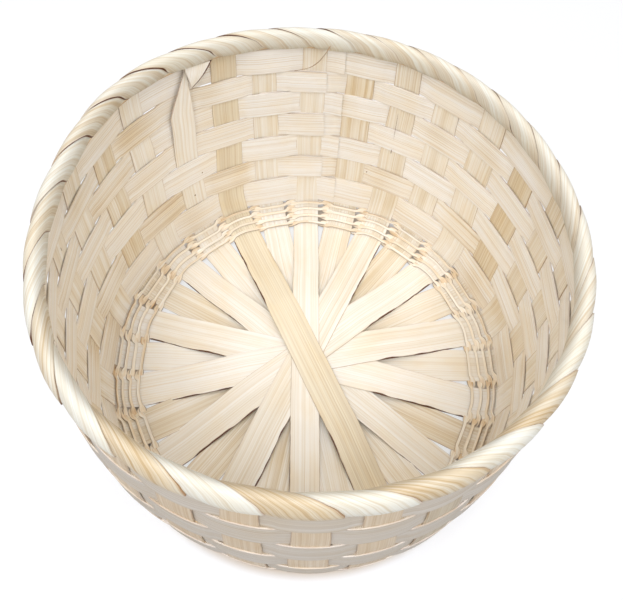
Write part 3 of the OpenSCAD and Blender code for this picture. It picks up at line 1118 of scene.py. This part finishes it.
@dataclass
class WallWeavers:
    """Seven flat weavers, each laid round the wall with its ends lapped at the back."""

    form: BasketForm
    weave: Weave
    lift: float = 0.52 * MM
    lap: float = 0.3 * MM
    start: float = -1.25
    end_past_even: float = 0.27
    end_past_odd: float = 0.64
    per_step: int = 20

    def build(self, finishes: Finishes) -> None:
        """Makes and dresses the seven weavers."""
        for row in range(1, self.weave.rows + 1):
            ribbon = self._weaver(row)
            dress(ribbon.build(self.form), finishes.of(Finishes.WEAVER), "wall_weaver", f"weaver_row_{row}")

    def _swing(self, row: int, u: Array) -> Array:
        """Outward share of the lift at places u, counted in stakes.

        Args:
            row: Row number from the top.
            u: Places round the ring. The crossings follow the stakes that stray.

        Returns:
            The share at each place, -1 on the inside of a stake to 1 on its outside.
        """
        height = (self.weave.borders[row - 1][0] + self.weave.borders[row][0]) / 2
        radius = self.form.line(np.array([self.form.place_at_height(height * MM)]))[0, 0]
        strays = [np.interp(height, SHIFT_HEIGHTS, habit.wall_shift) for habit in STAKE_HABITS]
        places = np.arange(-STAKES, 3 * STAKES)
        u = np.interp(u, places + np.tile(strays, 4) * MM / (radius * STEP), places)
        i = np.floor(u).astype(int)
        t = u - i
        sides = np.array([weaver_face(row, n).value for n in range(STAKES)])
        a, b = sides[i % STAKES], sides[(i + 1) % STAKES]
        crossing = np.cos(math.pi * t)
        eased = np.sign(crossing) * np.abs(crossing) ** 0.58
        return np.where(a == b, a * (1 - 0.2 * np.sin(math.pi * t) ** 2), a * eased)

    def _weaver(self, row: int) -> Ribbon:
        """One weaver from its hidden start to its end on top of it."""
        even = row % 2 == 0
        past = self.end_past_even if even else self.end_past_odd
        end = STAKES + past
        start = self.start if even else self.start + 0.1
        u = np.linspace(start, end, int((end - start) * self.per_step) + 1)
        angle = u * STEP
        low, high = self.weave.band(row, angle)
        seed = row * 13
        swing = self._swing(row, u)
        middle_s = (low + high) / 2 + 0.16 * MM * Wander(seed, 3.1)(u)
        half = (high - low) / 2 * (1 + 0.02 * Wander(seed + 1, 2.3)(u)) + self.weave.play * np.abs(swing)
        lapped_start = 1 - smooth((u - past - 0.1) / 0.5)
        lapped_end = smooth((u - (STAKES + start) + 0.4) / 0.5)
        outward = self.lift * (1 + 0.1 * Wander(seed + 2, 4.7)(u)) * swing
        outward += self.lap * (lapped_start - lapped_end)
        line, into = self.form.line(middle_s), self.form.inward(middle_s)
        moved = line - into * outward[:, None]
        middle = ring_point(angle, 0.0, moved[:, 0], moved[:, 1])
        up = ring_point(angle, 0.0, -into[:, 1], into[:, 0])
        up = np.where(up[:, 2:3] < 0, -up, up)
        face = unit(np.cross(up, unit(np.gradient(middle, axis=0))))
        outwards = (face * ring_point(angle, 0.0, 1.0, 0.0)).sum(1, keepdims=True) > 0
        thickness = self.form.splint * (1 - 0.6 * smooth((u - end + 0.35) / 0.35))
        # The end that laps over the start is painted paler: partly its pale skin, partly a painted highlight
        # where the raised end catches the light.
        return Ribbon(
            f"weaver_{row}", middle, up, np.where(outwards, -face, face), half, thickness,
            self._tone(row, u) + 0.7 * lapped_end, 40 + row * 2.3, across=8,
        )

    def _tone(self, row: int, u: Array) -> Array:
        """How pale or tanned a weaver is at places u, counted in stakes."""
        tone = ring_values(u * STEP, ROW_TONES[row - 1]) + 0.42 * Wander(row * 13 + 3, 3.3)(u)
        # Pale spots add painted satin highlights; brown ones darken the tone.
        for place, wide, strength in (spot[1:] for spot in PAINTED_SATIN_AND_TONE_SPOTS if spot[0] == row):
            away = (u - place + STAKES / 2) % STAKES - STAKES / 2
            tone += strength * np.exp(-((away / wide) ** 4))
        return tone


@dataclass
class Rim:
    """Two hoops and a filler cane bound to the wall by a splint wound round them.

    Each turn of the wrap covers over_span stakes on the top of the rim and under_span
    below it. Drift is how many stakes the turns have slipped clockwise and lap_shade_share
    how much painted shade lies along their lapped edges, at equal steps clockwise from the back.
    """

    form: BasketForm
    wrap_thickness: float = 0.4 * MM
    over_span: float = 1.16
    under_span: float = 0.46
    dome: float = 0.48 * MM
    shingle: float = 1.5
    turn_length: float = 26 * MM
    slope: float = math.radians(35)
    per_turn: int = 44
    drift: tuple[float, ...] = (
        0.45, 0.3, 0.15, 0.05, 0.05, 0.05, 0.1, 0.15, 0.2, 0.3, 0.3, 0.4, 0.5, 0.5,
    )
    lap_shade_share: tuple[float, ...] = (
        0.6, 0.6, 0.8, 0.6, 0.3, 0.1, 0.0, 0.0, 0.0, 0.4, 0.8, 0.9, 0.9, 0.7,
    )
    turn_tones: tuple[float, ...] = (
        0.45, -0.1, -0.1, -0.2, 0.0, -0.1, -0.1, -0.3, 0.3, 0.0, 0.6, -0.8, 0.6, -0.9,
        0.6, -1.0, 0.6, -0.9, 0.6, -0.5, 0.45, -0.3, 0.45, -0.4, 0.0, 0.45, 0.1, -0.2,
    )

    def build(self, finishes: Finishes) -> None:
        """Makes and dresses the rim's four pieces."""
        wrap = self._wrap()
        dress(wrap, finishes.of(Finishes.WRAP), "rim_wrap", "rim_wrap")
        for name, node, place, half in (
            ("inner_hoop", "rim_inner_hoop", (-1.0, -0.3), (0.5, 2.9)),
            ("outer_hoop", "rim_outer_hoop", (1.0, -0.3), (0.5, 2.9)),
            ("filler_cane", "rim_filler_cane", (0.0, 2.9), (0.7, 0.7)),
        ):
            ribbon = self._hoop(name, place, half)
            dress(ribbon.build(self.form), finishes.of(Finishes.HOOP), "rim_hoop", node)

    @property
    def _centre(self) -> Array:
        """Middle of the rim's section, as radius and height."""
        return self.form.line(np.array([self.form.rim_place]))[0]

    def _hoop(self, name: str, place: tuple[float, float], half: tuple[float, float]) -> Ribbon:
        """A plain ring inside the rim, placed and sized in millimetres across and up."""
        count = 168
        angle = np.arange(count) * 2 * math.pi / count
        centre = self._centre
        middle = ring_point(angle, 0.0, centre[0] + place[0] * MM, centre[1] + place[1] * MM)
        side = ring_point(angle, 0.0, 0.0, 1.0)
        face = ring_point(angle, 0.0, -1.0, 0.0)
        return Ribbon(
            name, middle, side, face, half[1] * MM, half[0] * 1.4 * MM, 0.0, 3.3,
            crown=half[0] * 0.3 * MM, closed=True,
        )

    def _advance(self, t: Array) -> Array:
        """Share of a turn's way along the rim, slow under it and quick over the top."""
        knots_t = [0, 0.22, 0.36, 0.5, 0.66, 0.8, 1.0]
        knots_a = [0, 0.0, 0.12, 0.42, 0.86, 1.0, 1.0]
        fine = np.linspace(-1, 2, 901)
        eased = blurred(np.interp(fine % 1.0, knots_t, knots_a) + np.floor(fine), 14)
        return np.floor(t) + np.interp(t % 1.0, fine, eased)

    def _wrap(self) -> bpy.types.Object:
        """The splint wound once round the rim for each stake, each turn lapping the last."""
        count = STAKES * self.per_turn
        t = np.arange(count) / self.per_turn
        phase = t % 1.0
        under = smooth(1 - np.minimum(phase, 1 - phase) / 0.25)
        span = self.over_span * (1 - under) + self.under_span * under
        way = self._advance(t) + ring_values(np.floor(t) * STEP, self.drift)
        section = math.radians(270) + 2 * math.pi * t
        turn = np.round(t - 0.5).astype(int) % STAKES
        tones = blurred(np.asarray(self.turn_tones)[(turn + 1) % STAKES], 5)
        # Painted shade along the edge of each turn where it laps the last, on the top of the rim only.
        dark = ring_values(t * STEP, self.lap_shade_share) * (1 - under)
        dark = dark * np.clip(0.55 + 0.6 * Wander(9, 0.9)(t), 0, 1)
        uneven = Wander(5, 1.7)
        centre = self._centre
        tilt = math.cos(self.form.rim_angle), math.sin(self.form.rim_angle)
        wide = span * STEP * centre[0] * math.sin(self.slope)
        across = np.linspace(0, 1, 9)
        points, grain, edge, gap_shade = [], [], [], []
        for outer, x in [(True, x) for x in across] + [(False, x) for x in across[::-1]]:
            more = 0.1 * MM * uneven(t + 0.02 * x) + self.dome * (1 - (2 * x - 1) ** 2)
            more += (0.5 - x) * self.shingle * self.wrap_thickness * (1 - under)
            more -= 0 if outer else self.wrap_thickness
            out = (self.form.rim_half[0] + more) * np.cos(section)
            up = (self.form.rim_half[1] + more) * np.sin(section)
            radius = centre[0] + out * tilt[0] - up * tilt[1]
            height = centre[1] + out * tilt[1] + up * tilt[0]
            points.append(ring_point((way + (x - 0.5) * span) * STEP, 0.0, radius, height))
            grain.append(np.stack([t * self.turn_length, (x - 0.5) * wide, np.full(count, 91.0)], -1))
            edge.append(wide * np.minimum(x, 1 - x))
            gap_shade.append(dark * (x < 0.5))
        ring = len(points)
        return splint_object(
            "wrap_splint",
            self.form.settle(np.stack(points, 1).reshape(-1, 3)),
            band_faces(count, ring, True),
            np.stack(grain, 1).reshape(-1, 3),
            np.stack(edge, 1).ravel(),
            np.repeat(tones, ring),
            np.zeros(count * ring),
            np.stack(gap_shade, 1).ravel(),
        )


@dataclass
class Traces:
    """Small traces of handwork: the folded loose tip, a loose fibre, nicks in the skin.

    A nick is its stake, its height, its width and its length. A knot of the fibre is its
    stake, its height and how far it is inside the wall line. All but stakes are in
    millimetres.
    """

    form: BasketForm
    nicks: tuple[tuple[float, float, float, float], ...] = (
        (1.9, 57.0, 0.3, 3.0), (1.9, 74.0, 0.14, 17.0), (25.0, 34.0, 0.8, 0.9),
        (25.3, 46.5, 0.5, 0.9), (1.4, 37.5, 0.5, 1.1), (21.1, 92.0, 0.3, 2.2),
    )
    fibre_knots: tuple[tuple[float, float, float], ...] = (
        (0.42, 119.4, -0.6), (0.3, 114.5, 3.6), (0.1, 106.0, 3.0),
        (-0.1, 101.0, 2.2), (-0.45, 98.2, 1.4),
    )

    def build(self, finishes: Finishes) -> None:
        """Makes and dresses the traces."""
        base, wrap = finishes.of(Finishes.BASE), finishes.of(Finishes.WRAP)
        dress(self._fold().build(self.form), base, "base_splint")
        dress(self._fibre().build(self.form), wrap, "rim_wrap")
        for number, (stake, height, wide, tall) in enumerate(self.nicks, 1):
            ribbon = self._sliver(f"nick_{number}", stake, height, wide, tall)
            dress(ribbon.build(self.form), finishes.of(Finishes.NICK), "base_splint")

    def _on_wall(self, stake: Array, height: Array, inside: Array) -> Array:
        """Points a little inside the wall line, the last two values in millimetres."""
        s = self.form.place_at_height(height * MM)
        place = self.form.line(s) + self.form.inward(s) * inside[:, None] * MM
        return ring_point(stake * STEP, 0.0, place[:, 0], place[:, 1])

    def _facing(self, stake: Array) -> tuple[Array, Array]:
        """Directions along the ring and inwards at a stake."""
        return ring_point(stake * STEP, 1.0, 0.0, 0.0), ring_point(stake * STEP, 0.0, -1.0, 0.0)

    def _fold(self) -> Ribbon:
        """The corner of the loose tip, bent over against the first row."""
        t = np.linspace(0, 1, 12)
        stake = 25.38 + 0.18 * t
        middle = self._on_wall(stake, 99.5 + 11.5 * t, 1.3 + 1.1 * np.sin(2.8 * t))
        half = (0.2 + 4.9 * t) * MM
        # Painted shade along one edge of the bent corner, where it stands off the row.
        gap_shades = np.stack([0 * t, 0 * t + 0.9], -1)
        return Ribbon(
            "loose_tip_fold", middle, *self._facing(stake), half, 0.3 * MM, 1.0, 9.4, gap_shades=gap_shades
        )

    def _fibre(self) -> Ribbon:
        """A fine fibre that has sprung loose from the rim and hangs over the wall."""
        t, knots = np.linspace(0, 1, 24), np.linspace(0, 1, len(self.fibre_knots))
        stake, height, inside = (np.interp(t, knots, values) for values in zip(*self.fibre_knots))
        middle = self._on_wall(blurred(stake, 3), blurred(height, 3), blurred(inside, 3))
        return Ribbon(
            "loose_fibre", middle, *self._facing(stake), 0.17 * MM, 0.2 * MM, -1.0, 5.1, across=2
        )

    def _sliver(self, name: str, stake: float, height: float, wide: float, tall: float) -> Ribbon:
        """A dark nick, laid on the face of the splint."""
        taper = np.array([0.2, 0.8, 1.0, 0.8, 0.2])
        stakes = np.full(len(taper), stake)
        z = np.linspace(height - tall / 2, height + tall / 2, len(taper))
        middle = self._on_wall(stakes, z, np.full(len(taper), 0.98))
        half = wide / 2 * MM * taper
        return Ribbon(name, middle, *self._facing(stakes), half, 0.05 * MM, 0.0, 1.0, across=2)


@dataclass
class Studio:
    """Camera, lamps, pale floor and white surround."""

    eye: tuple[float, float, float] = (-10.2 * MM, -98.5 * MM, 264.9 * MM)
    heading: float = 0.0866
    dip: float = math.radians(59.85)
    roll: float = 0.1052
    lens: float = 35.092777
    shift: tuple[float, float] = (-0.0057464, -0.0661798)

    def build(self) -> None:
        """Sets up everything round the basket."""
        self._camera()
        self._floor()
        self._world()
        self._lamp("key", (-0.1, -0.42, 0.95), 0.55, 7.1)
        self._lamp("back", (0.05, 0.45, 0.85), 0.5, 1.8)
        self._lamp("left", (-0.7, -0.3, 0.6), 0.5, 1.6)
        self._lamp("right", (0.7, -0.3, 0.6), 0.5, 1.45)

    def _camera(self) -> None:
        """Camera at the chosen place, with the small shift that the framing needs."""
        data = bpy.data.cameras.new("camera")
        data.sensor_width = 36
        data.lens = self.lens
        data.shift_x, data.shift_y = self.shift
        data.clip_start = 0.01
        level = Vector((math.sin(self.heading), math.cos(self.heading), 0))
        ahead = math.cos(self.dip) * level - Vector((0, 0, math.sin(self.dip)))
        right = Vector((math.cos(self.heading), -math.sin(self.heading), 0))
        up = right.cross(ahead)
        right_rolled = math.cos(self.roll) * right + math.sin(self.roll) * up
        up_rolled = math.cos(self.roll) * up - math.sin(self.roll) * right
        turn = Matrix((right_rolled, up_rolled, -ahead)).transposed()
        camera = bpy.data.objects.new("camera", data)
        camera.matrix_world = Matrix.Translation(self.eye) @ turn.to_4x4()
        bpy.context.scene.collection.objects.link(camera)
        bpy.context.scene.camera = camera

    def _floor(self) -> None:
        """Pale table top, shown near white where nothing shades it."""
        mesh = bpy.data.meshes.new("table")
        r = 3.0
        mesh.from_pydata([(-r, -r, 0), (r, -r, 0), (r, r, 0), (-r, r, 0)], [], [(0, 1, 2, 3)])
        mesh.materials.append(self._table_top())
        table = bpy.data.objects.new("table", mesh)
        table.location.z = -0.2 * MM
        bpy.context.scene.collection.objects.link(table)

    def _table_top(self) -> bpy.types.Material:
        """Finish of the table: a painted shade ring under the turn, and glow beside it: painted light under
        the basket's floor and a plain white glow farther out.
        """
        material = bpy.data.materials.new("table_top")
        desk = Desk(material)
        seen = desk.node("ShaderNodeLightPath").outputs["Is Camera Ray"]
        spot = desk.node("ShaderNodeNewGeometry").outputs["Position"]
        far = desk.node("ShaderNodeVectorMath", {0: spot}, operation="LENGTH").outputs["Value"]
        # Painted shade: a dark brown ring on the table under the turn, seen by the camera through the holes
        # in the twining.
        inner, outer = desk.span(far, 73 * MM, 78 * MM), desk.span(far, 85 * MM, 90 * MM, 1.0, 0.0)
        ring = desk.maths("MULTIPLY", inner, outer)
        shown = desk.mix(ring, (0.86, 0.87, 0.9, 1), (0.56, 0.48, 0.4, 1))
        top = desk.mix(seen, (0.45, 0.45, 0.46, 1), shown)
        plain = desk.node(
            "ShaderNodeBsdfPrincipled", {"Base Color": top, "Roughness": 0.8, "Specular IOR Level": 0.1}
        )
        glow = desk.node("ShaderNodeEmission", {"Color": (1, 1, 1, 1), "Strength": 1.0})
        # Painted light: for the camera the table under the basket's floor glows, as if lit through the gaps
        # between spokes; beyond 100 mm the glow makes the table evenly white.
        inside = desk.span(far, 72 * MM, 77 * MM, 0.66, 0.0)
        outside = desk.span(far, 88 * MM, 100 * MM, 0.0, 0.55)
        share = desk.maths("MULTIPLY", seen, desk.maths("MAXIMUM", inside, outside))
        mixed = desk.node("ShaderNodeMixShader", {0: share, 1: plain.outputs[0], 2: glow.outputs[0]})
        desk.node("ShaderNodeOutputMaterial", {"Surface": mixed.outputs[0]})
        return material

    def _world(self) -> None:
        """White surround, softer as a light than as a background."""
        world = bpy.data.worlds.new("surround")
        bpy.context.scene.world = world
        desk = Desk(world)
        path = desk.node("ShaderNodeLightPath").outputs
        seen = desk.maths("MAXIMUM", path["Is Camera Ray"], path["Is Glossy Ray"])
        level = desk.span(seen, 0.0, 1.0, 0.45, 1.0)
        back = desk.node("ShaderNodeBackground", {"Color": (1, 1, 1, 1), "Strength": level})
        desk.node("ShaderNodeOutputWorld", {"Surface": back.outputs[0]})

    def _lamp(self, name: str, place: tuple[float, float, float], size: float, power: float) -> None:
        """Adds a soft square lamp that looks at the middle of the basket."""
        data = bpy.data.lights.new(name, "AREA")
        data.size = size
        data.energy = power
        lamp = bpy.data.objects.new(name, data)
        lamp.location = place
        towards = Vector((0, 0, 0.05)) - Vector(place)
        lamp.rotation_euler = towards.to_track_quat("-Z", "Y").to_euler()
        bpy.context.scene.collection.objects.link(lamp)


def main() -> None:
    """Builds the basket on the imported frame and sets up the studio."""
    logging.basicConfig(level=logging.INFO, format="%(name)s: %(message)s")
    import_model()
    scene = bpy.context.scene
    scene.view_settings.view_transform = "Standard"
    form = BasketForm()
    weave = Weave(form)
    finishes = Finishes()
    BaseStrips(form, weave).build(finishes)
    TwinedTurn(form).build(finishes)
    WallWeavers(form, weave).build(finishes)
    Rim(form).build(finishes)
    Traces(form).build(finishes)
    Studio().build()


if __name__ == "__main__":
    main()
